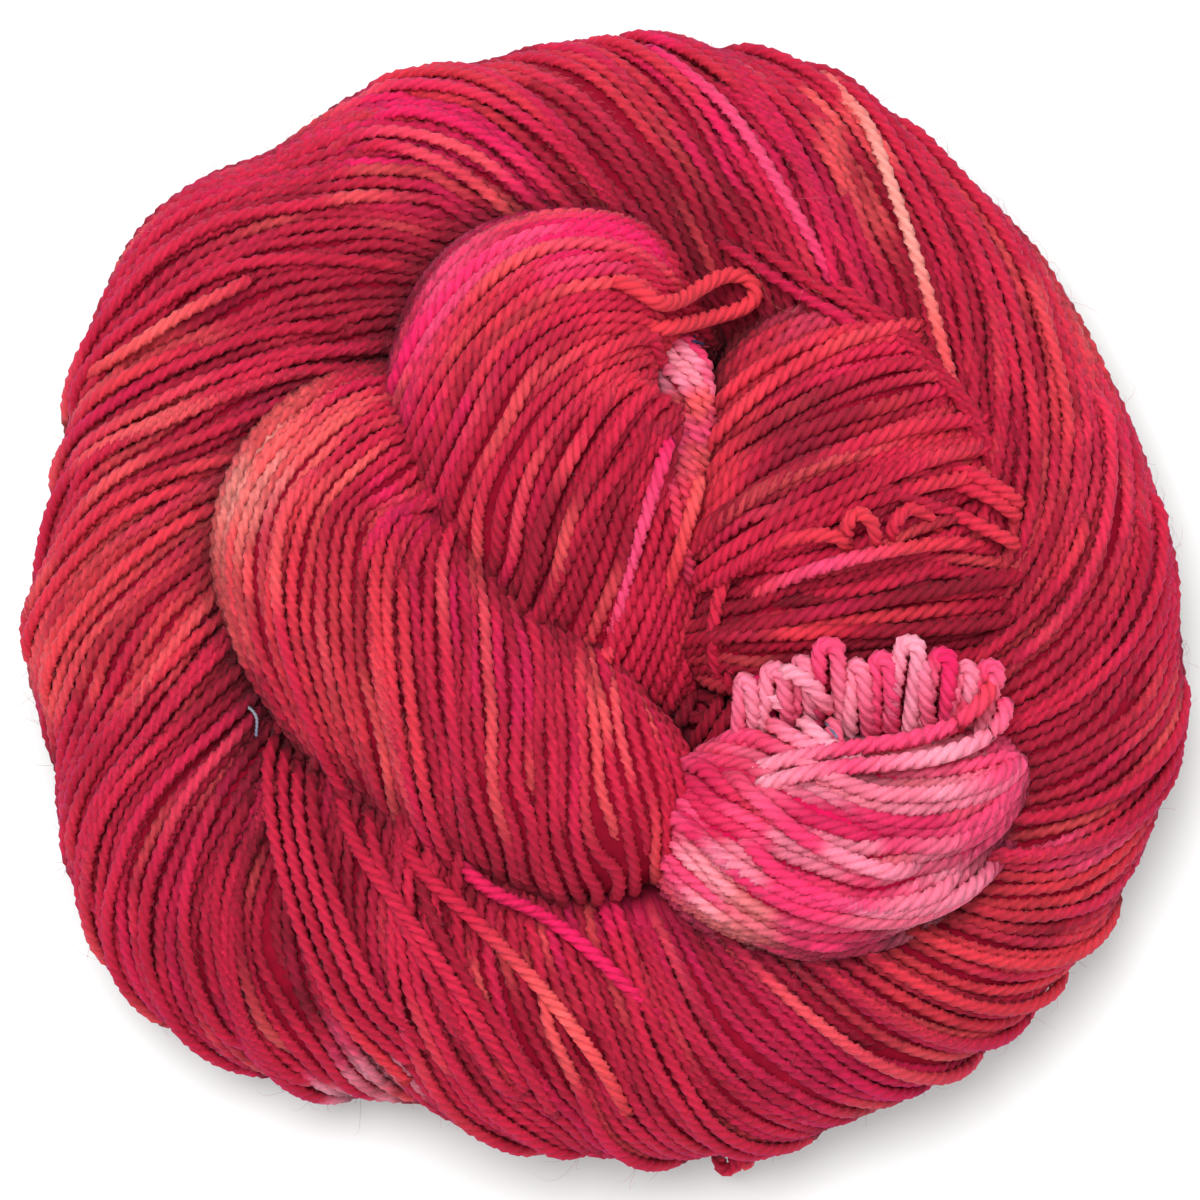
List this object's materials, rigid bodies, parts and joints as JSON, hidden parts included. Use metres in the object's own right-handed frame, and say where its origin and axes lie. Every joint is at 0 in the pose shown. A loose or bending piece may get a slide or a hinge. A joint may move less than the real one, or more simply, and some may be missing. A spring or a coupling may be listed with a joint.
{
  "type": "coiled hank of yarn",
  "caption": "Twisted hank of fine plied yarn, coiled flat into a round rosette, with one loose loop at its middle.",
  "frame": {"origin": "on the surface the hank lies on, under the middle of the rosette", "axes": "+Z up; +X right and +Y up in a view from straight above"},
  "size_m": [0.1496, 0.1489, 0.0549],
  "materials": {
    "yarn": "soft matt plied yarn, dyed by hand in crimson, coral and pink",
    "loop_yarn": "soft matt plied yarn, coral red"
  },
  "bodies": {
    "root": {"hank": "yarn", "loose_loop": "loop_yarn"}
  },
  "joints": []
}
